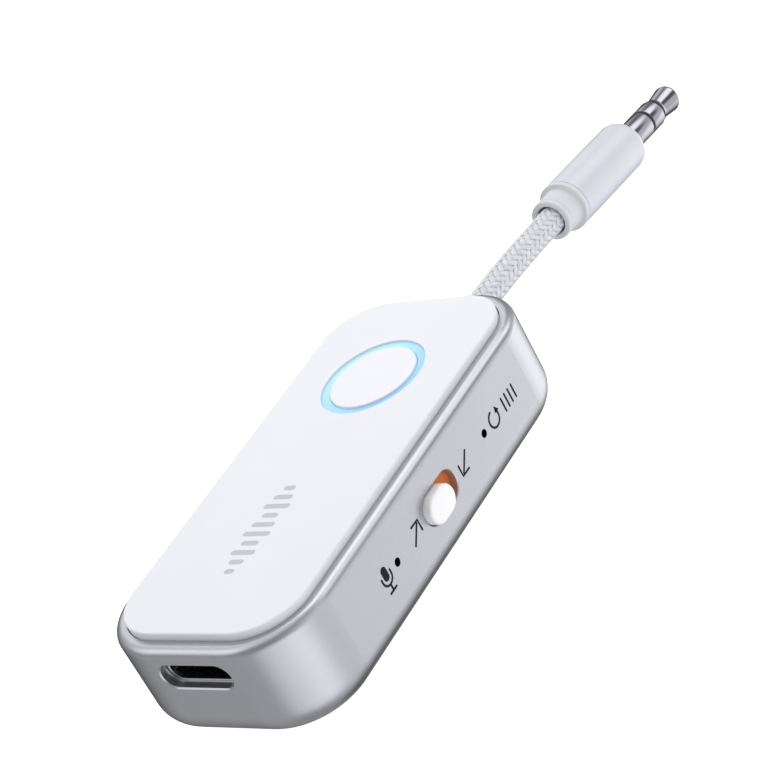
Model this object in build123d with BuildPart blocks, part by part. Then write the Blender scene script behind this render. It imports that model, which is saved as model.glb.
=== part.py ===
"""Pocket Bluetooth audio receiver with a short braided lead and a 3.5 mm jack plug.

Millimetres. +Z up, +Y towards the lead and plug, +X towards the side with the slide switch.
The origin is the centre of the housing's flat underside.
"""

from build123d import *
import math
import os

os.makedirs("parts", exist_ok=True)

# Housing and top cover
BODY_WIDTH = 26.5
BODY_LENGTH = 57.0
BODY_CORNER = 8.45
RIM_HEIGHT = 12.4
BOTTOM_ROUND = 3.7
RIM_ROUND = 1.0
FLOOR = 1.3
COVER_WIDTH = 23.06
COVER_LENGTH = 53.4
COVER_CORNER = 6.3
COVER_TOP = 13.3
COVER_UNDERSIDE = 12.0
COVER_GAP = 0.12
CAVITY_ROUND = 2.0
COVER_EDGE_ROUND = 0.18
THROUGH_WALL = 2.0

# Main board and what fastens it
BOARD_BOTTOM = 7.9
BOARD_THICKNESS = 0.8
BOARD_HALF_WIDTH = 10.5
BOARD_REAR = -26.2
BOARD_FRONT = 23.6
BOARD_CORNER = 5.4
BOSS_RADIUS = 1.8
SCREW_HOLE_RADIUS = 0.625
SCREW_HOLE_DEPTH = 4.0
SCREW_CLEARANCE_RADIUS = 0.8
SCREW_SHANK_RADIUS = 0.6
SCREW_LENGTH = 4.2
SCREW_HEAD_RADIUS = 1.3
SCREW_HEAD_HEIGHT = 0.8
SCREW_CROSS = (1.5, 0.35, 0.4)
SCREW_PLACES = [(-7.4, -21.0), (7.4, -21.0), (-7.4, 19.6), (7.4, 19.6)]
RIB_WIDTH = 1.6

# Button and light ring
BUTTON_Y = 13.15
BUTTON_RADIUS = 5.12
BUTTON_TRAVEL = 0.3
RING_INNER = 5.2
RING_OUTER = 6.18
RING_TOP = 13.05
RING_FOOT = 9.45
TACT_TOP = 10.0
STEM_BOTTOM = 10.5
PLUNGER_RADIUS = 1.0
PLUNGER_FOOT = 9.4
PLUNGER_PLAY = 0.05

# Side controls, all on one line along the housing
SIDE_Z = 7.05
SLOT_LENGTH = 6.8
SLOT_HEIGHT = 3.75
KNOB_LENGTH = 4.7
KNOB_HEIGHT = 3.35
SLIDER_TRAVEL = 1.9
KNOB_FACE_X = 14.2
SLOT_POCKET_X = 12.4
CARRIER_LENGTH = 9.4
CARRIER_HEIGHT = 4.4
CARRIER_PLAY = 0.2
SLOT_CHAMFER = 0.1
MIC_Y = -9.7
RESET_Y = 10.2
PIN_HOLE_RADIUS = 0.45

# USB-C receptacle
USB_Z = 9.08
USB_SHELL_WIDTH = 8.94
USB_SHELL_HEIGHT = 3.16
USB_WALL = 0.3
USB_FRONT = -27.3
USB_BACK = -20.0
USB_MOUTH_WIDTH = 9.2
USB_MOUTH_HEIGHT = 3.0
USB_MOUTH_CHAMFER = 0.14
USB_SHELL_PLAY = 0.06
USB_POCKET_FRONT = -27.32
NOTCH_WIDTH = 9.2
NOTCH_DEPTH = 6.3

# Battery
BATTERY_WIDTH = 19.0
BATTERY_LENGTH = 34.0
BATTERY_THICKNESS = 4.3
BATTERY_Y = 0.5
PAD_THICKNESS = 0.2

# Lead: a route in the plane x = 0, level through the grommet and then drooping
LEAD_RADIUS = 1.625
LEAD_START_Y = 25.6
LEAD_RUNS = [8.0, 8.4, 8.4, 8.0]
LEAD_DROOPS = [0.0, 3.24, 5.6, 7.2]
GROMMET_OUT = 4.5
GROMMET_NECK = 2.45
GROMMET_FLANGE = 3.3
GROMMET_PLAY = 0.05

# Plug, measured along its own axis from the end of its strain relief
PLUG_FROM_LAST_CORNER = 0.9
RELIEF_RADIUS = 2.55
RELIEF_LENGTH = 3.15
FLANGE_END = 3.9
BARREL_RADIUS = 3.2
BARREL_END = 19.3
BARREL_BORE = 2.4
JACK_RADIUS = 1.75
SHANK_RADIUS = 1.55
SLEEVE_END = 23.95
RING_BAND_START = 24.5
RING_BAND_END = 26.95
TIP_START = 27.55
TIP_WIDEST = 31.0
TIP_END = 32.4

HALF_WIDTH = BODY_WIDTH / 2
HALF_LENGTH = BODY_LENGTH / 2
CAVITY_HALF_WIDTH = COVER_WIDTH / 2 + COVER_GAP
CAVITY_HALF_LENGTH = COVER_LENGTH / 2 + COVER_GAP
BOARD_TOP = BOARD_BOTTOM + BOARD_THICKNESS
KNOB_Y = -SLIDER_TRAVEL / 2


def facing_x(x, y=0.0, z=SIDE_Z):
    """A plane facing +X whose own axes run along +Y and +Z."""
    return Plane(origin=(x, y, z), x_dir=(0, 1, 0), z_dir=(1, 0, 0))


def facing_minus_y(y, z=USB_Z):
    """A plane facing -Y whose own axes run along +X and +Z."""
    return Plane(origin=(0, y, z), x_dir=(1, 0, 0), z_dir=(0, -1, 0))


def save(piece, name):
    """Label a finished piece and write its STEP file."""
    piece.part.label = name
    export_step(piece.part, f"parts/{name}.step")


# ---------------------------------------------------------------- housing
with BuildPart() as cavity:
    with BuildSketch(Plane.XY.offset(FLOOR)):
        RectangleRounded(
            2 * CAVITY_HALF_WIDTH, 2 * CAVITY_HALF_LENGTH, COVER_CORNER + COVER_GAP
        )
    extrude(amount=RIM_HEIGHT)
    fillet(cavity.faces().sort_by(Axis.Z)[0].edges(), radius=CAVITY_ROUND)

RIB_PLACES = [(1, -17.0), (1, 17.0), (-1, -17.0), (-1, 0.0), (-1, 17.0)]
RIB_ROOT = CAVITY_HALF_WIDTH + 0.4
RIB_LOW_FACE = 9.75
RIB_HIGH_FACE = 10.65
HOOK_PLACES = [(1, -13.5), (1, 13.5), (-1, -13.5), (-1, 13.5)]
HOOK_WIDTH = 3.0
HOOK_POCKET_BOTTOM = 10.15
HOOK_POCKET_HEIGHT = 0.8
HOOK_POCKET_DEPTH = 0.4
HOOK_PLAY = 0.15

with BuildPart() as housing:
    with BuildSketch():
        RectangleRounded(BODY_WIDTH, BODY_LENGTH, BODY_CORNER)
    extrude(amount=RIM_HEIGHT)
    fillet(housing.faces().sort_by(Axis.Z)[0].edges(), radius=BOTTOM_ROUND)
    fillet(housing.faces().sort_by(Axis.Z)[-1].edges(), radius=RIM_ROUND)
    add(cavity.part, mode=Mode.SUBTRACT)
    # ribs: the broad lower part carries the board, the narrow upper part the cover
    for face_x, top in ((RIB_LOW_FACE, BOARD_BOTTOM), (RIB_HIGH_FACE, COVER_UNDERSIDE)):
        with BuildSketch(Plane.XY.offset(FLOOR)):
            for side, rib_y in RIB_PLACES:
                with Locations((side * (face_x + RIB_ROOT) / 2, rib_y)):
                    Rectangle(RIB_ROOT - face_x, RIB_WIDTH)
        extrude(amount=top - FLOOR)
    # screw bosses
    with BuildSketch(Plane.XY.offset(FLOOR)):
        with Locations(*SCREW_PLACES):
            Circle(BOSS_RADIUS)
    extrude(amount=BOARD_BOTTOM - FLOOR)
    with BuildSketch(Plane.XY.offset(BOARD_BOTTOM)):
        with Locations(*SCREW_PLACES):
            Circle(SCREW_HOLE_RADIUS)
    extrude(amount=-SCREW_HOLE_DEPTH, mode=Mode.SUBTRACT)
    # slot for the slide knob, and the pocket behind it for its carrier
    with BuildSketch(facing_x(SLOT_POCKET_X)):
        Rectangle(CARRIER_LENGTH + SLIDER_TRAVEL + 2 * CARRIER_PLAY, CARRIER_HEIGHT + CARRIER_PLAY)
    extrude(amount=-THROUGH_WALL, mode=Mode.SUBTRACT)
    with BuildSketch(facing_x(HALF_WIDTH)):
        SlotOverall(SLOT_LENGTH, SLOT_HEIGHT)
    extrude(amount=-THROUGH_WALL, mode=Mode.SUBTRACT)
    # microphone and reset holes
    for hole_y in (MIC_Y, RESET_Y):
        with BuildSketch(facing_x(HALF_WIDTH, hole_y)):
            Circle(PIN_HOLE_RADIUS)
        extrude(amount=-THROUGH_WALL, mode=Mode.SUBTRACT)
    # mouth of the USB-C port, and the pocket that the metal shell stands in
    with BuildSketch(facing_minus_y(-HALF_LENGTH)):
        SlotOverall(USB_MOUTH_WIDTH, USB_MOUTH_HEIGHT)
    extrude(amount=-THROUGH_WALL, mode=Mode.SUBTRACT)
    with BuildSketch(facing_minus_y(USB_POCKET_FRONT)):
        SlotOverall(USB_SHELL_WIDTH + 2 * USB_SHELL_PLAY, USB_SHELL_HEIGHT + 2 * USB_SHELL_PLAY)
    extrude(amount=-THROUGH_WALL, mode=Mode.SUBTRACT)
    # round hole for the lead's grommet
    with BuildSketch(facing_minus_y(HALF_LENGTH, SIDE_Z)):
        Circle(GROMMET_NECK + GROMMET_PLAY)
    extrude(amount=THROUGH_WALL, mode=Mode.SUBTRACT)
    # pockets for the cover's snap hooks
    for side, hook_y in HOOK_PLACES:
        with BuildSketch(Plane.XY.offset(HOOK_POCKET_BOTTOM)):
            with Locations((side * CAVITY_HALF_WIDTH, hook_y)):
                Rectangle(2 * HOOK_POCKET_DEPTH, HOOK_WIDTH + 2 * HOOK_PLAY)
        extrude(amount=HOOK_POCKET_HEIGHT, mode=Mode.SUBTRACT)
    slot_mouth = (
        housing.edges()
        .filter_by_position(Axis.X, HALF_WIDTH - 0.01, HALF_WIDTH + 0.01)
        .filter_by_position(Axis.Y, -SLOT_LENGTH / 2 - 0.05, SLOT_LENGTH / 2 + 0.05)
        .filter_by_position(Axis.Z, SIDE_Z - SLOT_HEIGHT / 2 - 0.05, SIDE_Z + SLOT_HEIGHT / 2 + 0.05)
    )
    chamfer(slot_mouth, length=SLOT_CHAMFER)
    port_mouth = (
        housing.edges()
        .filter_by_position(Axis.Y, -HALF_LENGTH - 0.01, -HALF_LENGTH + 0.01)
        .filter_by_position(Axis.X, -USB_MOUTH_WIDTH / 2 - 0.05, USB_MOUTH_WIDTH / 2 + 0.05)
        .filter_by_position(Axis.Z, USB_Z - USB_MOUTH_HEIGHT / 2 - 0.05, USB_Z + USB_MOUTH_HEIGHT / 2 + 0.05)
    )
    chamfer(port_mouth, length=USB_MOUTH_CHAMFER)
    print("chamfered edges", len(slot_mouth), len(port_mouth))
save(housing, "housing")

# ---------------------------------------------------------------- top cover
HOOK_INNER = 10.35
HOOK_OUTER = 11.15
HOOK_BARB = 11.95
HOOK_BOTTOM = 10.1
BARB_BOTTOM = 10.25
BARB_HEIGHT = 0.6
COVER_HOLE_PLAY = 0.04

with BuildPart() as top_cover:
    with BuildSketch(Plane.XY.offset(COVER_UNDERSIDE)):
        RectangleRounded(COVER_WIDTH, COVER_LENGTH, COVER_CORNER)
    extrude(amount=COVER_TOP - COVER_UNDERSIDE)
    fillet(top_cover.faces().sort_by(Axis.Z)[-1].edges(), radius=COVER_EDGE_ROUND)
    with BuildSketch(Plane.XY.offset(COVER_UNDERSIDE)):
        with Locations((0, BUTTON_Y)):
            Circle(RING_OUTER + COVER_HOLE_PLAY)
    extrude(amount=THROUGH_WALL, mode=Mode.SUBTRACT)
    for side, hook_y in HOOK_PLACES:
        with BuildSketch(Plane.XY.offset(HOOK_BOTTOM)):
            with Locations((side * (HOOK_INNER + HOOK_OUTER) / 2, hook_y)):
                Rectangle(HOOK_OUTER - HOOK_INNER, HOOK_WIDTH)
        extrude(amount=COVER_UNDERSIDE - HOOK_BOTTOM)
        with BuildSketch(Plane.XY.offset(BARB_BOTTOM)):
            with Locations((side * (HOOK_INNER + HOOK_BARB) / 2, hook_y)):
                Rectangle(HOOK_BARB - HOOK_INNER, HOOK_WIDTH)
        extrude(amount=BARB_HEIGHT)
save(top_cover, "top_cover")

# ---------------------------------------------------------------- light ring and button
BUTTON_AXIS = Axis((0, BUTTON_Y, 0), (0, 0, 1))
BUTTON_SECTION = Plane(origin=(0, BUTTON_Y, 0), x_dir=(1, 0, 0), z_dir=(0, -1, 0))
RING_FLANGE_RADIUS = 7.2
RING_FLANGE_UNDERSIDE = 11.2
RING_SKIRT_OUTER = 6.6
RING_SKIRT_INNER = 5.75
RING_STOP = 11.6

with BuildPart() as light_ring:
    with BuildSketch(BUTTON_SECTION):
        with BuildLine():
            Polyline(
                (RING_INNER, RING_TOP),
                (RING_OUTER, RING_TOP),
                (RING_OUTER, COVER_UNDERSIDE),
                (RING_FLANGE_RADIUS, COVER_UNDERSIDE),
                (RING_FLANGE_RADIUS, RING_FLANGE_UNDERSIDE),
                (RING_SKIRT_OUTER, RING_FLANGE_UNDERSIDE),
                (RING_SKIRT_OUTER, RING_FOOT),
                (RING_SKIRT_INNER, RING_FOOT),
                (RING_SKIRT_INNER, RING_STOP),
                (RING_INNER, RING_STOP),
                close=True,
            )
        make_face()
    revolve(axis=BUTTON_AXIS)
save(light_ring, "light_ring")

STEM_RADIUS = 1.5
CAP_FOOT = 10.95
CAP_BOSS_RADIUS = 2.2
CAP_HOLLOW_TOP = 12.1
CAP_HOLLOW_RADIUS = 4.6
CAP_LIP_RADIUS = 5.55
CAP_LIP_TOP = 11.5

with BuildPart() as button_cap:
    with BuildSketch(BUTTON_SECTION):
        with BuildLine():
            Polyline(
                (0, STEM_BOTTOM),
                (STEM_RADIUS, STEM_BOTTOM),
                (STEM_RADIUS, CAP_FOOT),
                (CAP_BOSS_RADIUS, CAP_FOOT),
                (CAP_BOSS_RADIUS, CAP_HOLLOW_TOP),
                (CAP_HOLLOW_RADIUS, CAP_HOLLOW_TOP),
                (CAP_HOLLOW_RADIUS, CAP_FOOT),
                (CAP_LIP_RADIUS, CAP_FOOT),
                (CAP_LIP_RADIUS, CAP_LIP_TOP),
                (BUTTON_RADIUS, CAP_LIP_TOP),
                (BUTTON_RADIUS, COVER_TOP),
                (0, COVER_TOP),
                close=True,
            )
        make_face()
    revolve(axis=BUTTON_AXIS)
    fillet(button_cap.faces().sort_by(Axis.Z)[-1].edges(), radius=COVER_EDGE_ROUND)
save(button_cap, "button_cap")

with BuildPart() as button_switch_case:
    with BuildSketch(Plane.XY.offset(BOARD_TOP)):
        with Locations((0, BUTTON_Y)):
            RectangleRounded(4.5, 4.5, 0.4)
    extrude(amount=TACT_TOP - BOARD_TOP)
    with BuildSketch(Plane.XY.offset(TACT_TOP)):
        with Locations((0, BUTTON_Y)):
            Circle(PLUNGER_RADIUS + PLUNGER_PLAY)
    extrude(amount=-1.0, mode=Mode.SUBTRACT)
save(button_switch_case, "button_switch_case")

with BuildPart() as button_switch_plunger:
    with BuildSketch(Plane.XY.offset(PLUNGER_FOOT)):
        with Locations((0, BUTTON_Y)):
            Circle(PLUNGER_RADIUS)
    extrude(amount=STEM_BOTTOM - PLUNGER_FOOT)
save(button_switch_plunger, "button_switch_plunger")

# ---------------------------------------------------------------- main board
with BuildPart() as main_board:
    with BuildSketch(Plane.XY.offset(BOARD_BOTTOM)):
        with Locations((0, (BOARD_REAR + BOARD_FRONT) / 2)):
            RectangleRounded(2 * BOARD_HALF_WIDTH, BOARD_FRONT - BOARD_REAR, BOARD_CORNER)
        with Locations((0, BOARD_REAR)):
            Rectangle(NOTCH_WIDTH, 2 * NOTCH_DEPTH, mode=Mode.SUBTRACT)
        with Locations(*SCREW_PLACES):
            Circle(SCREW_CLEARANCE_RADIUS, mode=Mode.SUBTRACT)
    extrude(amount=BOARD_THICKNESS)
save(main_board, "main_board")

cross_length, cross_width, cross_depth = SCREW_CROSS

with BuildPart() as board_screws:
    with BuildSketch(Plane.XY.offset(BOARD_TOP)):
        with Locations(*SCREW_PLACES):
            Circle(SCREW_HEAD_RADIUS)
    extrude(amount=SCREW_HEAD_HEIGHT)
    with BuildSketch(Plane.XY.offset(BOARD_TOP)):
        with Locations(*SCREW_PLACES):
            Circle(SCREW_SHANK_RADIUS)
    extrude(amount=-SCREW_LENGTH)
    with BuildSketch(Plane.XY.offset(BOARD_TOP + SCREW_HEAD_HEIGHT)):
        with Locations(*SCREW_PLACES):
            Rectangle(cross_length, cross_width)
            Rectangle(cross_width, cross_length)
    extrude(amount=-cross_depth, mode=Mode.SUBTRACT)
save(board_screws, "board_screws")

# Surface-mounted pieces on the board's top: name, width, length, height, corner, places
CAPACITOR_PLACES = [
    (-8.4, -8.6),
    (-8.4, -10.6),
    (-8.4, -12.6),
    (-8.4, -14.6),
    (0.9, -15.2),
    (0.9, -13.2),
    (7.6, -4.6),
    (7.6, -2.6),
    (7.6, 1.6),
    (7.6, 3.6),
]
TOP_CHIPS = [
    ("radio_shield", 11.0, 9.6, 1.7, 0.5, [(-2.5, -1.5)]),
    ("audio_codec", 5.0, 5.0, 0.85, 0.15, [(-3.6, -11.8)]),
    ("charger_chip", 3.0, 3.0, 0.75, 0.1, [(5.6, -16.4)]),
    ("crystal", 3.2, 2.5, 0.7, 0.3, [(4.4, -10.4)]),
    ("chip_antenna", 1.9, 5.2, 1.1, 0.1, [(-9.2, 6.0)]),
    ("chip_capacitors", 1.6, 0.8, 0.75, 0.05, CAPACITOR_PLACES),
]

for chip_name, chip_width, chip_length, chip_height, chip_corner, chip_places in TOP_CHIPS:
    with BuildPart() as top_chip:
        with BuildSketch(Plane.XY.offset(BOARD_TOP)):
            with Locations(*chip_places):
                RectangleRounded(chip_width, chip_length, chip_corner)
        extrude(amount=chip_height)
    save(top_chip, chip_name)

LED_CIRCLE = 6.17

with BuildPart() as ring_leds:
    with BuildSketch(Plane.XY.offset(BOARD_TOP)):
        with Locations((0, BUTTON_Y)):
            with PolarLocations(LED_CIRCLE, 4, start_angle=45):
                Rectangle(0.8, 1.6)
    extrude(amount=0.6)
save(ring_leds, "ring_leds")

# ---------------------------------------------------------------- battery
with BuildPart() as battery:
    with BuildSketch(Plane.XY.offset(FLOOR + PAD_THICKNESS)):
        with Locations((0, BATTERY_Y)):
            Rectangle(BATTERY_WIDTH, BATTERY_LENGTH)
    extrude(amount=BATTERY_THICKNESS)
    fillet(battery.edges().filter_by(Axis.Y), radius=1.0)
save(battery, "battery")

with BuildPart() as battery_pad:
    with BuildSketch(Plane.XY.offset(FLOOR)):
        with Locations((0, BATTERY_Y)):
            RectangleRounded(15.0, 28.0, 1.0)
    extrude(amount=PAD_THICKNESS)
save(battery_pad, "battery_pad")

WIRE_X = [-3.4, -2.0]
WIRE_Z = 4.4
WIRE_RADIUS = 0.4
WIRE_RUN = 2.0
BATTERY_FRONT = BATTERY_Y + BATTERY_LENGTH / 2

with BuildPart() as battery_leads:
    for wire_x in WIRE_X:
        with BuildLine() as wire_path:
            FilletPolyline(
                (wire_x, BATTERY_FRONT, WIRE_Z),
                (wire_x, BATTERY_FRONT + WIRE_RUN, WIRE_Z),
                (wire_x, BATTERY_FRONT + WIRE_RUN, BOARD_BOTTOM),
                radius=1.2,
            )
        with BuildSketch(Plane(origin=(wire_x, BATTERY_FRONT, WIRE_Z), z_dir=(0, 1, 0))):
            Circle(WIRE_RADIUS)
        sweep(path=wire_path.wires()[0])
save(battery_leads, "battery_leads")

# ---------------------------------------------------------------- USB-C receptacle
INNER_WIDTH = USB_SHELL_WIDTH - 2 * USB_WALL
INNER_HEIGHT = USB_SHELL_HEIGHT - 2 * USB_WALL
TONGUE_THICKNESS = 0.7
TONGUE_WIDTH = 6.7
TONGUE_LENGTH = 4.6
TONGUE_BLOCK = 1.9
BLOCK_PLAY = 0.02
TAB_WIDTH = 1.3
TAB_LENGTH = 1.2
TAB_PLACES = [(-4.95, -24.0), (-4.95, -21.4), (4.95, -24.0), (4.95, -21.4)]

with BuildPart() as usb_shell:
    with BuildSketch(facing_minus_y(USB_FRONT)):
        SlotOverall(USB_SHELL_WIDTH, USB_SHELL_HEIGHT)
        SlotOverall(INNER_WIDTH, INNER_HEIGHT, mode=Mode.SUBTRACT)
    extrude(amount=USB_FRONT - USB_BACK)
    # solder tabs that lie on the board beside its notch
    with BuildSketch(Plane.XY.offset(BOARD_TOP)):
        with Locations(*TAB_PLACES):
            Rectangle(TAB_WIDTH, TAB_LENGTH)
    extrude(amount=USB_WALL)
save(usb_shell, "usb_shell")

with BuildPart() as usb_tongue:
    with BuildSketch(facing_minus_y(USB_BACK)):
        SlotOverall(INNER_WIDTH - 2 * BLOCK_PLAY, INNER_HEIGHT - 2 * BLOCK_PLAY)
    extrude(amount=TONGUE_BLOCK)
    with BuildSketch(facing_minus_y(USB_BACK - TONGUE_BLOCK)):
        RectangleRounded(TONGUE_WIDTH, TONGUE_THICKNESS, 0.2)
    extrude(amount=TONGUE_LENGTH)
save(usb_tongue, "usb_tongue")

CONTACT_PITCH = 0.5
CONTACT_WIDTH = 0.26
CONTACT_THICKNESS = 0.06
CONTACT_BACK = -22.4
CONTACT_LENGTH = 3.4

with BuildPart() as usb_contacts:
    for side in (1, -1):
        contact_z = USB_Z + side * (TONGUE_THICKNESS + CONTACT_THICKNESS) / 2
        with BuildSketch(facing_minus_y(CONTACT_BACK, contact_z)):
            with GridLocations(CONTACT_PITCH, CONTACT_PITCH, 12, 1):
                Rectangle(CONTACT_WIDTH, CONTACT_THICKNESS)
        extrude(amount=CONTACT_LENGTH)
save(usb_contacts, "usb_contacts")

# ---------------------------------------------------------------- slide switch and knob
LEVER_WIDTH = 1.3
LEVER_HEIGHT = 0.8
CASE_FACE_X = 10.5
CARRIER_BACK_X = 11.95
CARRIER_FRONT_X = 12.35
LEVER_ROOT_X = 9.3
LEVER_TIP_X = 11.8
LEVER_PLAY = 0.1
SLIDE_CASE_HEIGHT = 1.4
SLIDE_CASE_LENGTH = 6.7
SLIDE_CASE_DEPTH = 2.6

with BuildPart() as slide_switch_case:
    with BuildSketch(facing_x(CASE_FACE_X, z=BOARD_BOTTOM - SLIDE_CASE_HEIGHT / 2)):
        Rectangle(SLIDE_CASE_LENGTH, SLIDE_CASE_HEIGHT)
    extrude(amount=-SLIDE_CASE_DEPTH)
    with BuildSketch(facing_x(LEVER_ROOT_X - LEVER_PLAY)):
        Rectangle(LEVER_WIDTH + SLIDER_TRAVEL + LEVER_PLAY, LEVER_HEIGHT + LEVER_PLAY)
    extrude(amount=THROUGH_WALL, mode=Mode.SUBTRACT)
save(slide_switch_case, "slide_switch_case")

with BuildPart() as slide_switch_lever:
    with BuildSketch(facing_x(LEVER_ROOT_X, KNOB_Y)):
        Rectangle(LEVER_WIDTH, LEVER_HEIGHT)
    extrude(amount=LEVER_TIP_X - LEVER_ROOT_X)
save(slide_switch_lever, "slide_switch_lever")

PRONG_OFFSET = 0.95
PRONG_WIDTH = 0.5
PRONG_LENGTH = 1.0

with BuildPart() as slider_carrier:
    with BuildSketch(facing_x(CARRIER_BACK_X, KNOB_Y)):
        RectangleRounded(CARRIER_LENGTH, CARRIER_HEIGHT, 0.6)
    extrude(amount=CARRIER_FRONT_X - CARRIER_BACK_X)
    with BuildSketch(facing_x(CARRIER_BACK_X, KNOB_Y)):
        with Locations((PRONG_OFFSET, 0), (-PRONG_OFFSET, 0)):
            Rectangle(PRONG_WIDTH, PRONG_LENGTH)
    extrude(amount=-PRONG_LENGTH)
save(slider_carrier, "slider_carrier")

with BuildPart() as slider_knob:
    with BuildSketch(facing_x(CARRIER_FRONT_X, KNOB_Y)):
        SlotOverall(KNOB_LENGTH, KNOB_HEIGHT)
    extrude(amount=KNOB_FACE_X - CARRIER_FRONT_X)
    fillet(slider_knob.faces().sort_by(Axis.X)[-1].edges(), radius=0.3)
save(slider_knob, "slider_knob")

# ---------------------------------------------------------------- reset switch and microphone
RESET_CASE_LENGTH = 3.5
RESET_CASE_HEIGHT = 1.7
RESET_CASE_DEPTH = 3.0
RESET_BORE_DEPTH = 1.1
RESET_PLUNGER_RADIUS = 0.5
RESET_PLUNGER_ROOT_X = 9.8
RESET_PLUNGER_LENGTH = 1.6

with BuildPart() as reset_switch_case:
    with BuildSketch(facing_x(CASE_FACE_X, RESET_Y)):
        Rectangle(RESET_CASE_LENGTH, RESET_CASE_HEIGHT)
    extrude(amount=-RESET_CASE_DEPTH)
    with BuildSketch(facing_x(CASE_FACE_X, RESET_Y)):
        Circle(RESET_PLUNGER_RADIUS + PLUNGER_PLAY)
    extrude(amount=-RESET_BORE_DEPTH, mode=Mode.SUBTRACT)
save(reset_switch_case, "reset_switch_case")

with BuildPart() as reset_switch_plunger:
    with BuildSketch(facing_x(RESET_PLUNGER_ROOT_X, RESET_Y)):
        Circle(RESET_PLUNGER_RADIUS)
    extrude(amount=RESET_PLUNGER_LENGTH)
save(reset_switch_plunger, "reset_switch_plunger")

MIC_BACK_X = 6.9
MIC_FRONT_X = 9.7
MIC_LENGTH = 3.5
MIC_HEIGHT = 1.1
BOOT_LENGTH = 3.2
BOOT_HEIGHT = 1.8
BOOT_TOP = 7.88
BOOT_BORE_RADIUS = 0.5

with BuildPart() as microphone:
    with BuildSketch(facing_x(MIC_BACK_X, MIC_Y, BOARD_BOTTOM - MIC_HEIGHT / 2)):
        Rectangle(MIC_LENGTH, MIC_HEIGHT)
    extrude(amount=MIC_FRONT_X - MIC_BACK_X)
save(microphone, "microphone")

with BuildPart() as microphone_boot:
    with BuildSketch(facing_x(MIC_FRONT_X, MIC_Y, BOOT_TOP - BOOT_HEIGHT / 2)):
        Rectangle(BOOT_LENGTH, BOOT_HEIGHT)
    extrude(amount=CAVITY_HALF_WIDTH - MIC_FRONT_X)
    with BuildSketch(facing_x(MIC_FRONT_X, MIC_Y)):
        Circle(BOOT_BORE_RADIUS)
    extrude(amount=THROUGH_WALL, mode=Mode.SUBTRACT)
save(microphone_boot, "microphone_boot")

# ---------------------------------------------------------------- lead and its grommet
LEAD_AXIS = Axis((0, 0, SIDE_Z), (0, 1, 0))
LEAD_SECTION = Plane(origin=(0, 0, SIDE_Z), x_dir=(0, 1, 0), z_dir=(1, 0, 0))
GROMMET_BACK = CAVITY_HALF_LENGTH - 0.9
GROMMET_STRAIGHT = 0.9
GROMMET_LIP = 0.3
BEND_SHARE = 0.45

with BuildPart() as cable_grommet:
    with BuildSketch(LEAD_SECTION):
        with BuildLine():
            Polyline(
                (GROMMET_BACK, LEAD_RADIUS),
                (GROMMET_BACK, GROMMET_FLANGE),
                (CAVITY_HALF_LENGTH, GROMMET_FLANGE),
                (CAVITY_HALF_LENGTH, GROMMET_NECK),
                (HALF_LENGTH + GROMMET_STRAIGHT, GROMMET_NECK),
                (HALF_LENGTH + GROMMET_OUT, LEAD_RADIUS + GROMMET_LIP),
                (HALF_LENGTH + GROMMET_OUT, LEAD_RADIUS),
                close=True,
            )
        make_face()
    revolve(axis=LEAD_AXIS)
save(cable_grommet, "cable_grommet")

lead_points = [Vector(0, LEAD_START_Y, SIDE_Z)]
for run, droop in zip(LEAD_RUNS, LEAD_DROOPS):
    along = Vector(0, math.cos(math.radians(droop)), -math.sin(math.radians(droop)))
    lead_points.append(lead_points[-1] + along * run)
lead_radii = []
for before, corner, after in zip(lead_points, lead_points[1:], lead_points[2:]):
    turn = math.radians((corner - before).get_angle(after - corner))
    shorter = min((corner - before).length, (after - corner).length)
    lead_radii.append(BEND_SHARE * shorter / math.tan(turn / 2))

with BuildPart() as audio_cord:
    with BuildLine() as lead_path:
        FilletPolyline(*lead_points, radius=lead_radii)
    with BuildSketch(Plane(origin=lead_points[0], z_dir=(0, 1, 0))):
        Circle(LEAD_RADIUS)
    sweep(path=lead_path.wires()[0])
save(audio_cord, "audio_cord")

lead_length = lead_path.wires()[0].length
lead_volume = math.pi * LEAD_RADIUS**2 * lead_length
print("lead radii", [round(radius, 1) for radius in lead_radii])
print("lead points", [tuple(round(value, 3) for value in point) for point in lead_points])
print("lead length", round(lead_length, 2), "volume ratio", audio_cord.part.volume / lead_volume)

CORE_WIRE_ENDS = [(-0.75, -1.6), (0.0, 0.0), (0.75, 1.6)]
CORE_WIRE_RADIUS = 0.3
CORE_WIRE_STRAIGHT = 1.2
CORE_PAD_Y = 22.0
CORE_PAD_Z = BOARD_BOTTOM - 0.4

with BuildPart() as audio_leads:
    for start_x, end_x in CORE_WIRE_ENDS:
        wire_start = Vector(start_x, LEAD_START_Y, SIDE_Z)
        wire_bend = wire_start + Vector(0, -CORE_WIRE_STRAIGHT, 0)
        wire_end = Vector(end_x, CORE_PAD_Y, CORE_PAD_Z)
        with BuildLine() as core_path:
            FilletPolyline(wire_start, wire_bend, wire_end, radius=1.5)
        with BuildSketch(Plane(origin=wire_start, z_dir=(0, -1, 0))):
            Circle(CORE_WIRE_RADIUS)
        sweep(path=core_path.wires()[0])
save(audio_leads, "audio_leads")

# ---------------------------------------------------------------- plug
plug_way = (lead_points[-1] - lead_points[-2]).normalized()
plug_start = lead_points[-2] + plug_way * PLUG_FROM_LAST_CORNER
PLUG_AXIS = Axis(plug_start, plug_way)
PLUG_SECTION = Plane(origin=plug_start, x_dir=plug_way, z_dir=(1, 0, 0))
LEAD_END = (lead_points[-1] - plug_start).length
CORE_END = 15.0
CORE_STEP = 11.0
RELIEF_MOUTH = 1.85
RELIEF_MOUTH_DEPTH = 2.4

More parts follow.
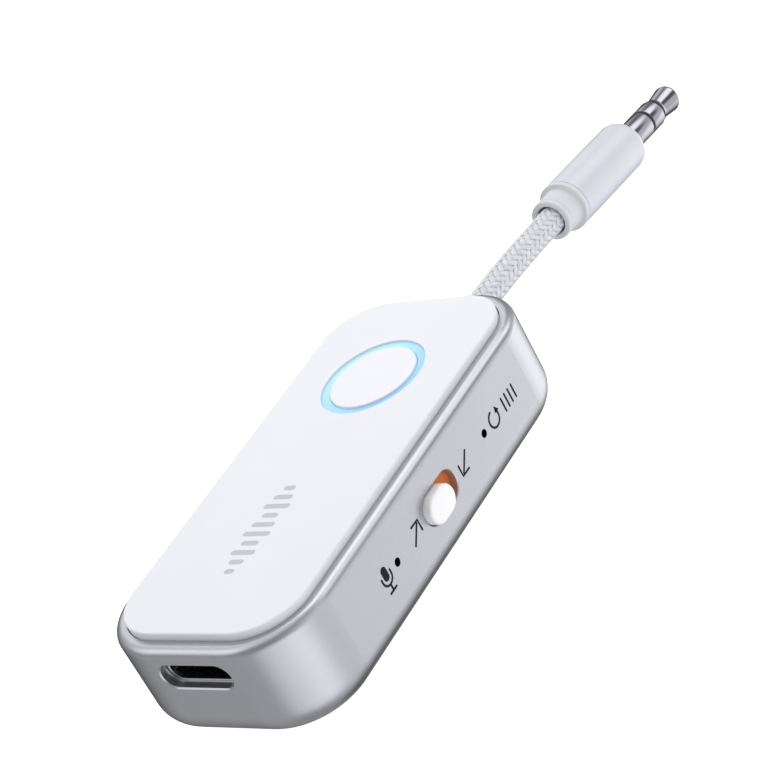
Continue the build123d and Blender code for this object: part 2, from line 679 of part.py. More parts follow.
with BuildPart() as plug_strain_relief:
    with BuildSketch(PLUG_SECTION):
        with BuildLine():
            Polyline(
                (0, RELIEF_MOUTH),
                (0, RELIEF_RADIUS - 0.4),
                (0.12, RELIEF_RADIUS - 0.14),
                (0.4, RELIEF_RADIUS),
                (0.62, RELIEF_RADIUS),
                (0.65, RELIEF_RADIUS - 0.05),
                (0.71, RELIEF_RADIUS - 0.05),
                (0.74, RELIEF_RADIUS),
                (RELIEF_LENGTH, RELIEF_RADIUS),
                (RELIEF_LENGTH, BARREL_RADIUS - 0.25),
                (RELIEF_LENGTH + 0.08, BARREL_RADIUS - 0.08),
                (RELIEF_LENGTH + 0.25, BARREL_RADIUS),
                (FLANGE_END, BARREL_RADIUS),
                (FLANGE_END, BARREL_BORE - 0.02),
                (LEAD_END, BARREL_BORE - 0.02),
                (LEAD_END, LEAD_RADIUS),
                (RELIEF_MOUTH_DEPTH, LEAD_RADIUS),
                (RELIEF_MOUTH_DEPTH, RELIEF_MOUTH),
                close=True,
            )
        make_face()
    revolve(axis=PLUG_AXIS)
save(plug_strain_relief, "plug_strain_relief")

BARREL_NOSE = 1.1
BARREL_NOSE_BACK = 17.6

with BuildPart() as plug_barrel:
    with BuildSketch(PLUG_SECTION):
        with BuildLine():
            Polyline(
                (BARREL_END, BARREL_RADIUS - BARREL_NOSE),
                (BARREL_END, SHANK_RADIUS + 0.02),
                (BARREL_NOSE_BACK, SHANK_RADIUS + 0.02),
                (BARREL_NOSE_BACK, BARREL_BORE),
                (FLANGE_END + 0.03, BARREL_BORE),
                (FLANGE_END + 0.03, BARREL_RADIUS - 0.06),
                (FLANGE_END + 0.09, BARREL_RADIUS),
                (BARREL_END - BARREL_NOSE, BARREL_RADIUS),
            )
            RadiusArc(
                (BARREL_END - BARREL_NOSE, BARREL_RADIUS),
                (BARREL_END, BARREL_RADIUS - BARREL_NOSE),
                BARREL_NOSE,
            )
        make_face()
    revolve(axis=PLUG_AXIS)
save(plug_barrel, "plug_barrel")

# The jack's contacts are tubes one inside the other, kept apart by insulation
TIP_ROD = 0.45
INNER_INSULATION = 0.7
RING_TUBE = 0.95
OUTER_INSULATION = 1.25
TIP_BACK = 11.6
INNER_INSULATION_BACK = 12.1
RING_BACK = 12.6
OUTER_INSULATION_BACK = 13.6
SLEEVE_FLANGE = 2.3
SLEEVE_FLANGE_END = 16.4

with BuildPart() as plug_core:
    with BuildSketch(PLUG_SECTION):
        with BuildLine():
            Polyline(
                (LEAD_END, 0),
                (LEAD_END, BARREL_BORE - 0.05),
                (CORE_END, BARREL_BORE - 0.05),
                (CORE_END, OUTER_INSULATION),
                (CORE_STEP, OUTER_INSULATION),
                (CORE_STEP, 0),
                close=True,
            )
        make_face()
    revolve(axis=PLUG_AXIS)
save(plug_core, "plug_core")

with BuildPart() as jack_sleeve:
    with BuildSketch(PLUG_SECTION):
        with BuildLine():
            Polyline(
                (CORE_END, OUTER_INSULATION),
                (CORE_END, SLEEVE_FLANGE),
                (SLEEVE_FLANGE_END, SLEEVE_FLANGE),
                (SLEEVE_FLANGE_END, SHANK_RADIUS),
                (BARREL_END, SHANK_RADIUS),
                (BARREL_END, JACK_RADIUS),
                (SLEEVE_END, JACK_RADIUS),
                (SLEEVE_END, OUTER_INSULATION),
                close=True,
            )
        make_face()
    revolve(axis=PLUG_AXIS)
save(jack_sleeve, "jack_sleeve")

with BuildPart() as jack_ring:
    with BuildSketch(PLUG_SECTION):
        with BuildLine():
            Polyline(
                (RING_BACK, INNER_INSULATION),
                (RING_BACK, RING_TUBE),
                (RING_BAND_START, RING_TUBE),
                (RING_BAND_START, JACK_RADIUS),
                (RING_BAND_END, JACK_RADIUS),
                (RING_BAND_END, INNER_INSULATION),
                close=True,
            )
        make_face()
    revolve(axis=PLUG_AXIS)
save(jack_ring, "jack_ring")

with BuildPart() as jack_tip:
    with BuildSketch(PLUG_SECTION):
        with BuildLine():
            Polyline(
                (TIP_BACK, 0),
                (TIP_BACK, TIP_ROD),
                (TIP_START, TIP_ROD),
                (TIP_START, 1.52),
                (TIP_START + 0.45, 1.42),
                (TIP_START + 0.85, 1.46),
                (TIP_WIDEST, JACK_RADIUS),
                (TIP_WIDEST + 0.3, JACK_RADIUS - 0.08),
                (TIP_WIDEST + 0.6, JACK_RADIUS - 0.32),
                (TIP_END, 0.65),
                (TIP_END, 0),
                close=True,
            )
        make_face()
    revolve(axis=PLUG_AXIS)
save(jack_tip, "jack_tip")

with BuildPart() as jack_insulators:
    with BuildSketch(PLUG_SECTION):
        with BuildLine():
            Polyline(
                (OUTER_INSULATION_BACK, RING_TUBE),
                (OUTER_INSULATION_BACK, OUTER_INSULATION),
                (SLEEVE_END, OUTER_INSULATION),
                (SLEEVE_END, JACK_RADIUS - 0.03),
                (RING_BAND_START, JACK_RADIUS - 0.03),
                (RING_BAND_START, RING_TUBE),
                close=True,
            )
        make_face()
        with BuildLine():
            Polyline(
                (INNER_INSULATION_BACK, TIP_ROD),
                (INNER_INSULATION_BACK, INNER_INSULATION),
                (RING_BAND_END, INNER_INSULATION),
                (RING_BAND_END, JACK_RADIUS - 0.08),
                (TIP_START, JACK_RADIUS - 0.14),
                (TIP_START, TIP_ROD),
                close=True,
            )
        make_face()
    revolve(axis=PLUG_AXIS)
save(jack_insulators, "jack_insulators")

lowest = min(piece.part.bounding_box().min.Z for piece in (plug_barrel, jack_tip))
print("plug start", plug_start, "way", plug_way, "lowest point", lowest)
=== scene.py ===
import math

import bmesh
import bpy
from mathutils import Matrix, Vector


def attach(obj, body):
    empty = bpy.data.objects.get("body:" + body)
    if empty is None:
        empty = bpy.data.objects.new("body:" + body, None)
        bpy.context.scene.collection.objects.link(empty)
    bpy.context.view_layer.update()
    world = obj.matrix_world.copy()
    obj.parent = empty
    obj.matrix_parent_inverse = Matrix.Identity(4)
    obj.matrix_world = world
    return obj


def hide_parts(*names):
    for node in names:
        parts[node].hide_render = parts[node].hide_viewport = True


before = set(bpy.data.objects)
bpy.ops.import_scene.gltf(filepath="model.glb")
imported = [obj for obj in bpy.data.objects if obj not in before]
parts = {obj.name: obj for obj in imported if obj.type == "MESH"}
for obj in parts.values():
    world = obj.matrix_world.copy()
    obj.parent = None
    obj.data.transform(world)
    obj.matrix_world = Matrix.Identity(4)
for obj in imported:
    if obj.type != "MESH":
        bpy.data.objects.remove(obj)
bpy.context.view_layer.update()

# ---------------------------------------------------------------- studio
# A photographer's product table: a matt white sweep, a long lens from the near right, and soft
# light from overhead, from past the far end, from the right and from below. The object is lit
# as if it stood clear of the sweep, so the sweep itself is seen by the camera only.
CAMERA_PLACE = Vector((0.182642, -0.168585, 0.148508))
CAMERA_BACK = Vector((0.6230, -0.6243, 0.4713))
CAMERA_UP = Vector((0.0526, 0.6346, 0.7710))
CAMERA_LENS = 125.66

camera = bpy.data.objects.new("camera", bpy.data.cameras.new("camera"))
bpy.context.scene.collection.objects.link(camera)
camera_right = CAMERA_UP.cross(CAMERA_BACK).normalized()
camera_axes = (camera_right, CAMERA_BACK.cross(camera_right).normalized(), CAMERA_BACK.normalized())
camera.matrix_world = Matrix.Translation(CAMERA_PLACE) @ Matrix(camera_axes).transposed().to_4x4()
camera.data.lens = CAMERA_LENS
camera.data.clip_start = 0.02
camera.data.clip_end = 20
bpy.context.scene.camera = camera
bpy.context.scene.view_settings.view_transform = "Standard"


MM = 0.001


def srgb(code):
    """A six-digit hex colour as linear light."""
    levels = [int(code[i : i + 2], 16) / 255 for i in (0, 2, 4)]
    return (*(v / 12.92 if v <= 0.04045 else ((v + 0.055) / 1.055) ** 2.4 for v in levels), 1.0)


def add_node(tree, kind, sockets=None, **settings):
    """Adds a node; a socket takes a value, or a (node, output) pair to link from."""
    made = tree.nodes.new(kind)
    for name, value in settings.items():
        setattr(made, name, value)
    for name, value in (sockets or {}).items():
        if isinstance(value, tuple) and isinstance(value[0], bpy.types.Node):
            tree.links.new(value[0].outputs[value[1]], made.inputs[name])
        else:
            made.inputs[name].default_value = value
    return made


def new_finish(name):
    """An empty material, its node tree, and a node that gives places on the piece in millimetres."""
    finish = bpy.data.materials.new(name)
    finish.use_nodes = True
    tree = finish.node_tree
    tree.nodes.clear()
    place = add_node(tree, "ShaderNodeTexCoord")
    in_mm = add_node(
        tree, "ShaderNodeVectorMath", {0: (place, "Object"), "Scale": 1 / MM}, operation="SCALE"
    )
    return finish, tree, in_mm


def new_piece(name, mesh, finish, sharp_above=38):
    """An object made of that mesh in that finish, smooth apart from its sharp edges."""
    piece = bpy.data.objects.new(name, mesh)
    bpy.context.scene.collection.objects.link(piece)
    mesh.materials.append(finish)
    mesh.shade_smooth()
    mesh.set_sharp_from_angle(angle=math.radians(sharp_above))
    return piece


def mesh_of(name, build):
    """A mesh from a bmesh, with its normals facing out."""
    bmesh.ops.recalc_face_normals(build, faces=build.faces)
    mesh = bpy.data.meshes.new(name)
    build.to_mesh(mesh)
    build.free()
    return mesh


SWEEP_RADIUS = 2.5
SWEEP_DROP = 0.00002
SWEEP_OWN_LIGHT = 0.8

sweep_paper, tree, in_mm = new_finish("matt white sweep paper")
paper_fibre = add_node(
    tree, "ShaderNodeTexNoise", {"Vector": (in_mm, "Vector"), "Scale": 0.02, "Detail": 2.0}
)
paper_tone = add_node(
    tree,
    "ShaderNodeMix",
    {0: (paper_fibre, 0), 6: srgb("FDFDFE"), 7: srgb("FFFFFF")},
    data_type="RGBA",
)
paper = add_node(
    tree,
    "ShaderNodeBsdfPrincipled",
    {
        "Base Color": (paper_tone, 2),
        "Roughness": 0.9,
        "Specular IOR Level": 0.0,
        "Emission Color": srgb("FFFFFF"),
        "Emission Strength": SWEEP_OWN_LIGHT,
    },
)
add_node(tree, "ShaderNodeOutputMaterial", {"Surface": (paper, 0)})

build = bmesh.new()
bmesh.ops.create_circle(build, cap_ends=True, radius=SWEEP_RADIUS, segments=96)
sweep = new_piece("sweep", mesh_of("sweep", build), sweep_paper)
sweep.location.z = -SWEEP_DROP
sweep.visible_diffuse = False
sweep.visible_glossy = False
sweep.visible_shadow = False

# Each soft source: the way towards it, the cosine at its edge, and its strength. The last
# four take light away, as black flags do. X is the case's right and Y its far end.
SOFT_SOURCES = [
    ((-0.45, 0.05, 0.90), 0.55, 0.72),  # broad, overhead
    ((0.25, 0.74, 0.62), 0.92, 1.75),  # high, past the far end
    ((-0.62, 0.62, 0.47), 0.92, 0.80),  # past the far left corner
    ((-0.62, -0.45, 0.64), 0.86, 0.90),  # high, past the near left corner
    ((-0.50, -0.75, -0.43), 0.60, 0.20),  # low, past the near end
    ((0.85, 0.35, -0.10), 0.10, 0.72),  # very broad, from the right
    ((0.62, -0.62, -0.47), 0.68, 0.95),  # low, past the near right corner
    ((0.22, 0.85, -0.47), 0.86, 1.15),  # low, past the far end
    ((0.66, 0.70, 0.27), 0.955, -0.80),  # past the far right corner
    ((0.10, 0.52, -0.85), 0.88, -0.45),  # below the far end
    ((-0.72, 0.62, -0.30), 0.72, -0.28),  # low, past the far left corner
    ((-0.85, 0.05, -0.50), 0.78, -0.12),  # low, from the left
]
ROOM_LIGHT = 0.35

room = bpy.data.worlds.new("studio room")
bpy.context.scene.world = room
room.use_nodes = True
tree = room.node_tree
tree.nodes.clear()
outward = add_node(tree, "ShaderNodeTexCoord")
room_light = None
for toward, edge, strength in SOFT_SOURCES:
    facing = add_node(
        tree,
        "ShaderNodeVectorMath",
        {0: (outward, "Generated"), 1: Vector(toward).normalized()},
        operation="DOT_PRODUCT",
    )
    glow = add_node(
        tree,
        "ShaderNodeMapRange",
        {"Value": (facing, "Value"), "From Min": edge, "From Max": 1.0, "To Max": strength},
        interpolation_type="SMOOTHSTEP",
    )
    room_light = add_node(
        tree,
        "ShaderNodeMath",
        {0: (glow, 0), 1: (room_light, 0) if room_light else ROOM_LIGHT},
        operation="ADD",
    )
lit_room = add_node(
    tree, "ShaderNodeBackground", {"Color": srgb("FBFBFE"), "Strength": (room_light, 0)}
)
white_wall = add_node(tree, "ShaderNodeBackground", {"Color": srgb("FFFFFF"), "Strength": 1.0})
seen = add_node(tree, "ShaderNodeLightPath")
backdrop = add_node(
    tree,
    "ShaderNodeMixShader",
    {0: (seen, "Is Camera Ray"), 1: (lit_room, 0), 2: (white_wall, 0)},
)
add_node(tree, "ShaderNodeOutputWorld", {"Surface": (backdrop, 0)})

# A soft box close above the far end, so the cover grows a little brighter towards the lead
BOX_PLACE = Vector((-0.02, 0.075, 0.13))
BOX_AIM = Vector((0, 0.02, 0.012))
BOX_SIZE = 0.08
BOX_ENERGY = 0.03

box = bpy.data.objects.new("soft box", bpy.data.lights.new("soft box", "AREA"))
bpy.context.scene.collection.objects.link(box)
box.data.shape = "SQUARE"
box.data.size = BOX_SIZE
box.data.energy = BOX_ENERGY
box_back = (BOX_PLACE - BOX_AIM).normalized()
box_across = box_back.cross(Vector((0, 1, 0))).normalized()
box_axes = (box_across, box_back.cross(box_across), box_back)
box.matrix_world = Matrix.Translation(BOX_PLACE) @ Matrix(box_axes).transposed().to_4x4()

# ---------------------------------------------------------------- lead
# A short three-core audio lead in a braided polyester sleeve. It leaves the case level, is
# stiff for its length, and droops only until the plug's tip rests on the table.
LEAD_ROUTE = [
    (0, 0.0256, 0.00705),
    (0, 0.0336, 0.00705),
    (0, 0.041987, 0.006575),
    (0, 0.050346, 0.005756),
    (0, 0.058283, 0.004753),
]
JACKET_RADIUS = 0.00147
LEAD_IN_PLUG_END = 7.1
PLUG_DROOP = math.radians(7.2)
PLUG_WAY = Vector((0, math.cos(PLUG_DROOP), -math.sin(PLUG_DROOP)))
PLUG_START = Vector(LEAD_ROUTE[-1]) - PLUG_WAY * LEAD_IN_PLUG_END * MM

# Soft PVC inner jacket: pale grey, faintly uneven, a dull shine between the threads.
jacket_pvc, tree, in_mm = new_finish("soft grey PVC jacket")
jacket_mottle = add_node(tree, "ShaderNodeTexNoise", {"Vector": (in_mm, "Vector"), "Scale": 1.2})
jacket_tone = add_node(
    tree,
    "ShaderNodeMix",
    {0: (jacket_mottle, 0), 6: srgb("BABBC0"), 7: srgb("C4C5CA")},
    data_type="RGBA",
)
jacket = add_node(
    tree, "ShaderNodeBsdfPrincipled", {"Base Color": (jacket_tone, 2), "Roughness": 0.6, "IOR": 1.53}
)
add_node(tree, "ShaderNodeOutputMaterial", {"Surface": (jacket, 0)})

lead_line = bpy.data.curves.new("lead", "CURVE")
lead_line.dimensions = "3D"
lead_spline = lead_line.splines.new("NURBS")
lead_spline.points.add(len(LEAD_ROUTE) - 1)
for point, place in zip(lead_spline.points, LEAD_ROUTE):
    point.co = (*place, 1.0)
lead_spline.order_u = 3
lead_spline.use_endpoint_u = True
lead_line.resolution_u = 24
lead = bpy.data.objects.new("lead", lead_line)
bpy.context.scene.collection.objects.link(lead)
lead_centre = [v.co.copy() for v in bpy.data.meshes.new_from_object(lead).vertices]
lead_line.bevel_depth = JACKET_RADIUS
lead_line.bevel_resolution = 8
lead_line.use_fill_caps = True
lead_line.materials.append(jacket_pvc)

# The sleeve: 12 flat yarns wound each way round the jacket, two over, two under, each a
# band of parallel filaments, at a pitch of about 1.1 mm along the lead.
YARNS_EACH_WAY = 12
YARN_LAY = 0.0130
YARN_WIDTH = 0.00058
YARN_THICKNESS = 0.0001
YARN_RADIUS = 0.001443
YARN_WEAVE = 0.00007
YARN_FILAMENT_HEIGHT = 0.000012
YARN_STEP = 0.00012
SLEEVE_FIRST_Y = 0.0322
SLEEVE_LAST_Y = 0.0538
YARN_TOP_POINTS = 9
YARN_FOOT_WIDTH = 0.3
YARN_FOOT_DEPTH = 0.6
YARN_FLOAT = 1.4

lead_reach = [0.0]
for before, after in zip(lead_centre, lead_centre[1:]):
    lead_reach.append(lead_reach[-1] + (after - before).length)


def on_lead(distance):
    """The lead's centre and direction at a distance along it."""
    i = max(i for i in range(len(lead_reach) - 1) if lead_reach[i] <= distance)
    share = (distance - lead_reach[i]) / (lead_reach[i + 1] - lead_reach[i])
    here, ahead = lead_centre[i], lead_centre[i + 1]
    before, beyond = lead_centre[max(i - 1, 0)], lead_centre[min(i + 2, len(lead_centre) - 1)]
    way = (ahead - before).normalized().lerp((beyond - here).normalized(), share)
    return here.lerp(ahead, share), way.normalized()


# Bright polyester yarn: near white, a soft sheen, and a grey cast painted into the valleys as shade.
polyester, tree, in_mm = new_finish("white polyester braid")
yarn_mottle = add_node(
    tree, "ShaderNodeTexNoise", {"Vector": (in_mm, "Vector"), "Scale": 1.4, "Detail": 2.0}
)
yarn_clean = add_node(
    tree,
    "ShaderNodeMix",
    {0: (yarn_mottle, 0), 6: srgb("C2C3C9"), 7: srgb("FAFAFD")},
    data_type="RGBA",
)
yarn_rise = add_node(tree, "ShaderNodeAttribute", attribute_name="yarn_rise")
# Painted shade: the yarn's tone turns grey where it dives under the other yarns.
yarn_tone_with_valley_shade = add_node(
    tree,
    "ShaderNodeMix",
    {0: (yarn_rise, "Fac"), 6: srgb("C4C5CA"), 7: (yarn_clean, 2)},
    data_type="RGBA",
)
yarn_fuzz = add_node(tree, "ShaderNodeTexNoise", {"Vector": (in_mm, "Vector"), "Scale": 18.0})
yarn_relief = add_node(
    tree, "ShaderNodeBump", {"Height": (yarn_fuzz, 0), "Distance": 0.00001, "Strength": 0.8}
)
yarn = add_node(
    tree,
    "ShaderNodeBsdfPrincipled",
    {
        "Base Color": (yarn_tone_with_valley_shade, 2),
        "Roughness": 0.3,
        "IOR": 1.57,
        "Sheen Weight": 0.3,
        "Sheen Roughness": 0.4,
        "Normal": (yarn_relief, 0),
    },
)
add_node(tree, "ShaderNodeOutputMaterial", {"Surface": (yarn, 0)})

yarn_section = []
for i in range(YARN_TOP_POINTS):
    across = 2 * i / (YARN_TOP_POINTS - 1) - 1
    crown = YARN_THICKNESS * (1 - across**2) + (YARN_FILAMENT_HEIGHT if i % 2 else 0)
    yarn_section.append((across * YARN_WIDTH / 2, crown))
for edge in (YARN_WIDTH, -YARN_WIDTH):
    yarn_section.append((edge * YARN_FOOT_WIDTH, -YARN_THICKNESS * YARN_FOOT_DEPTH))

sleeve_start = next(s for s, p in zip(lead_reach, lead_centre) if p.y >= SLEEVE_FIRST_Y)
sleeve_end = next(s for s, p in zip(lead_reach, lead_centre) if p.y >= SLEEVE_LAST_Y)
stations = round((sleeve_end - sleeve_start) / YARN_STEP)
sleeve_frames = []
for i in range(stations + 1):
    distance = sleeve_start + (sleeve_end - sleeve_start) * i / stations
    sleeve_frames.append((distance, *on_lead(distance)))

build = bmesh.new()
rise = build.verts.layers.float.new("yarn_rise")
side = Vector((1, 0, 0))
for hand in (1, -1):
    for yarn_number in range(YARNS_EACH_WAY):
        previous = None
        for distance, centre, way in sleeve_frames:
            turn = 2 * math.pi * (yarn_number / YARNS_EACH_WAY + hand * distance / YARN_LAY)
            up = side.cross(way)
            out = side * math.cos(turn) + up * math.sin(turn)
            around = up * math.cos(turn) - side * math.sin(turn)
            run = way + around * (hand * 2 * math.pi * YARN_RADIUS / YARN_LAY)
            across_way = out.cross(run.normalized())
            crossing = 2 * YARNS_EACH_WAY * distance / YARN_LAY
            wave = math.sin(math.pi / 2 * (2 * yarn_number + hand * crossing + 0.5))
            lift = hand * max(-1.0, min(1.0, YARN_FLOAT * wave))
            radius = YARN_RADIUS + YARN_WEAVE * lift
            ring = [
                build.verts.new(centre + out * (radius + high) + across_way * wide)
                for wide, high in yarn_section
            ]
            # The rise sets how much painted shade the yarn's tone gets in the valleys.
            for point in ring:
                point[rise] = 0.5 + 0.5 * lift
            if previous:
                for j in range(len(ring)):
                    k = (j + 1) % len(ring)
                    build.faces.new((previous[j], previous[k], ring[k], ring[j]))
            else:
                build.faces.new(ring)
            previous = ring
        build.faces.new(previous)
sleeve = new_piece("lead_braid", mesh_of("lead_braid", build), polyester, sharp_above=80)
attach(lead, "receiver")
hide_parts("audio_cord")
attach(sleeve, "receiver")

# ---------------------------------------------------------------- plug
# A straight moulded 3.5 mm plug: a soft collar and flange, a hard satin barrel pressed over
# them, and three turned and nickelled contacts kept apart by black nylon bands.
ON_AXIS = 1e-6
NEARLY_STRAIGHT = math.radians(172)
LONGEST_EASE = 0.4


def eased(profile, radius_mm=0.05, steps=4):
    """The same closed profile with each corner that is off the axis rounded."""
    out = []
    for i, corner in enumerate(profile):
        before, after = Vector(profile[i - 1]), Vector(profile[(i + 1) % len(profile)])
        corner = Vector(corner)
        to_before, to_after = before - corner, after - corner
        if corner.y < ON_AXIS or to_before.angle(to_after) > NEARLY_STRAIGHT:
            out.append(corner)
            continue
        cut = min(radius_mm, LONGEST_EASE * to_before.length, LONGEST_EASE * to_after.length)
        start = corner + to_before.normalized() * cut
        end = corner + to_after.normalized() * cut
        for step in range(steps + 1):
            t = step / steps
            out.append(start * (1 - t) ** 2 + corner * (2 * t * (1 - t)) + end * t**2)
    return out


def turned(name, profile, start, way, finish, steps=96):
    """A closed profile of (along, radius) points in millimetres, turned round an axis."""
    side = Vector((1, 0, 0))
    up = way.cross(side)
    build = bmesh.new()
    rings = []
    for along, radius in profile:
        centre = start + way * along * MM
        if radius < ON_AXIS:
            rings.append([build.verts.new(centre)])
            continue
        ring = []
        for i in range(steps):
            turn = 2 * math.pi * i / steps
            out = side * math.cos(turn) + up * math.sin(turn)
            ring.append(build.verts.new(centre + out * radius * MM))
        rings.append(ring)
    for a, b in zip(rings, rings[1:] + rings[:1]):
        for i in range(steps):
            j = (i + 1) % steps
            if len(a) > 1 and len(b) > 1:
                build.faces.new((a[i], a[j], b[j], b[i]))
            elif len(a) > 1:
                build.faces.new((a[i], a[j], b[0]))
            elif len(b) > 1:
                build.faces.new((a[0], b[j], b[i]))
    return new_piece(name, mesh_of(name, build), finish)


def moulded_finish(name, dark, light, patch_mm, grain_mm, grain_depth_mm, sockets):
    """A finish whose tone drifts over patches and whose surface has a fine grain."""
    finish, tree, in_mm = new_finish(name)
    drift = add_node(
        tree,
        "ShaderNodeTexNoise",
        {"Vector": (in_mm, "Vector"), "Scale": 1 / patch_mm, "Detail": 3.0},
    )
    tone = add_node(
        tree, "ShaderNodeMix", {0: (drift, 0), 6: srgb(dark), 7: srgb(light)}, data_type="RGBA"
    )
    grain = add_node(
        tree,
        "ShaderNodeTexNoise",
        {"Vector": (in_mm, "Vector"), "Scale": 1 / grain_mm, "Detail": 2.0},
    )
    relief = add_node(
        tree, "ShaderNodeBump", {"Height": (grain, 0), "Distance": grain_depth_mm * MM}
    )
    shader = add_node(
        tree,
        "ShaderNodeBsdfPrincipled",
        {"Base Color": (tone, 2), "Normal": (relief, 0), **sockets},
    )
    add_node(tree, "ShaderNodeOutputMaterial", {"Surface": (shader, 0)})
    return finish


# Soft TPE: white with a dull bloom; its grain comes from the mould.
soft_tpe = moulded_finish(
    "soft white TPE", "DADBDE", "E2E3E6", 3.0, 0.25, 0.002, {"Roughness": 0.5, "IOR": 1.5}
)
# Satin white ABS of the barrel: a broad soft highlight, a trace of cool grey.
barrel_abs = moulded_finish(
    "satin white ABS",
    "D8DAE1",
    "DFE1E8",
    4.0,
    0.3,
    0.0008,
    {"Roughness": 0.34, "IOR": 1.54, "Coat Weight": 0.15, "Coat Roughness": 0.3},
)
# Black nylon of the jack's bands: dull, so that each shows as a dark line.
black_nylon = moulded_finish(
    "black nylon", "0B0B0C", "141416", 1.0, 0.2, 0.001, {"Roughness": 0.6, "IOR": 1.53}
)

# Bright nickel over turned brass: sharp streaks of light and dark, faint turning lines
# round the axis at 0.05 mm, drawn at 0.12 mm so that they show.
nickel, tree, in_mm = new_finish("bright nickel plate")
along_plug = add_node(
    tree,
    "ShaderNodeVectorMath",
    {0: (in_mm, "Vector"), 1: PLUG_WAY},
    operation="DOT_PRODUCT",
)
turning_place = add_node(tree, "ShaderNodeCombineXYZ", {"X": (along_plug, "Value")})
turning_lines = add_node(
    tree, "ShaderNodeTexNoise", {"Vector": (turning_place, 0), "Scale": 8.0, "Detail": 3.0}
)
plate_tone = add_node(
    tree,
    "ShaderNodeMix",
    {0: (turning_lines, 0), 6: srgb("9C9CA0"), 7: srgb("AAAAAE")},
    data_type="RGBA",
)
turning_relief = add_node(
    tree, "ShaderNodeBump", {"Height": (turning_lines, 0), "Distance": 0.0000012}
)
plate = add_node(
    tree,
    "ShaderNodeBsdfPrincipled",
    {
        "Base Color": (plate_tone, 2),
        "Metallic": 1.0,
        "Roughness": 0.10,
        "Normal": (turning_relief, 0),
    },
)
add_node(tree, "ShaderNodeOutputMaterial", {"Surface": (plate, 0)})

# Each piece: its name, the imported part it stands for, its slot and finish, its profile of
# (along, radius) points in millimetres, and how far its corners are eased.
PLUG_PIECES = [
    (
        "plug_collar",
        "plug_strain_relief",
        "soft_white",
        soft_tpe,
        [
            (0, 1.85),
            (0, 2.55),
            (0.62, 2.55),
            (0.66, 2.49),
            (0.74, 2.49),
            (0.78, 2.55),
            (3.15, 2.55),
            (3.15, 3.2),
            (3.9, 3.2),
            (3.9, 2.38),
            (LEAD_IN_PLUG_END, 2.38),
            (LEAD_IN_PLUG_END, 1.63),
            (2.4, 1.63),
            (2.4, 1.85),
        ],
        0.18,
    ),
    (
        "plug_shell",
        "plug_barrel",
        "plug_shell",
        barrel_abs,
        [
            (19.3, 1.57),
            (17.6, 1.57),
            (17.6, 2.4),
            (3.93, 2.4),
            (3.93, 3.2),
            (18.2, 3.2),
            (18.75, 3.05),
            (19.15, 2.65),
            (19.3, 2.1),
        ],
        0.07,
    ),
    (
        "jack_sleeve_contact",
        "jack_sleeve",
        "nickel",
        nickel,
        [
            (15.0, 1.25),
            (15.0, 2.3),
            (16.4, 2.3),
            (16.4, 1.55),
            (19.3, 1.55),
            (19.3, 1.75),
            (23.95, 1.75),
            (23.95, 1.25),
        ],
        0.05,
    ),
    (
        "jack_ring_contact",
        "jack_ring",
        "nickel",
        nickel,
        [(12.6, 0.7), (12.6, 0.95), (24.5, 0.95), (24.5, 1.75), (26.95, 1.75), (26.95, 0.7)],
        0.05,
    ),
    (
        "jack_tip_contact",
        "jack_tip",
        "nickel",
        nickel,
        [
            (11.6, 0),
            (11.6, 0.45),
            (27.55, 0.45),
            (27.55, 1.52),
            (28.0, 1.42),
            (28.4, 1.46),
            (31.0, 1.75),
            (31.3, 1.67),
            (31.6, 1.43),
            (32.4, 0.65),
            (32.4, 0),
        ],
        0.12,
    ),
    (
        "jack_band_inner",
        "jack_insulators",
        "black_plastic",
        black_nylon,
        [(13.6, 0.95), (13.6, 1.25), (23.95, 1.25), (23.95, 1.72), (24.5, 1.72), (24.5, 0.95)],
        0.03,
    ),
    (
        "jack_band_outer",
        "jack_insulators",
        "black_plastic",
        black_nylon,
        [(12.1, 0.45), (12.1, 0.7), (26.95, 0.7), (26.95, 1.67), (27.55, 1.61), (27.55, 0.45)],
        0.03,
    ),
]

for name, stands_for, slot, finish, profile, ease in PLUG_PIECES:
    piece = turned(name, eased(profile, ease), PLUG_START, PLUG_WAY, finish)
    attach(piece, "receiver")
    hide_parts(stands_for)

# ---------------------------------------------------------------- grommet
# A tapered sleeve of the same soft TPE, moulded on the lead where it leaves the case, with
# three shallow grooves that let it flex. A flange inside the case holds it.
GROMMET_PROFILE = [
    (25.92, 1.63),
    (25.92, 3.3),
    (26.82, 3.3),
    (26.82, 2.45),
    (29.6, 2.43),
    (29.7, 2.22),
    (30.0, 2.19),
    (30.1, 2.34),
    (30.6, 2.27),
    (30.7, 2.06),
    (31.0, 2.03),
    (31.1, 2.19),
    (31.6, 2.12),
    (31.7, 1.93),
    (32.0, 1.9),
    (32.1, 2.04),
    (33.0, 1.93),
    (33.0, 1.63),
]
GROMMET_BASE = Vector((0, 0, 0.00705))
ALONG_CASE = Vector((0, 1, 0))
grommet = turned("lead_grommet", eased(GROMMET_PROFILE, 0.06), GROMMET_BASE, ALONG_CASE, soft_tpe)
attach(grommet, "receiver")
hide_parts("cable_grommet")


def dress(finish, *names):
    """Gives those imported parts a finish."""
    for name in names:
        mesh = parts[name].data
        mesh.materials.clear()
        mesh.materials.append(finish)


dress(soft_tpe, "plug_core")

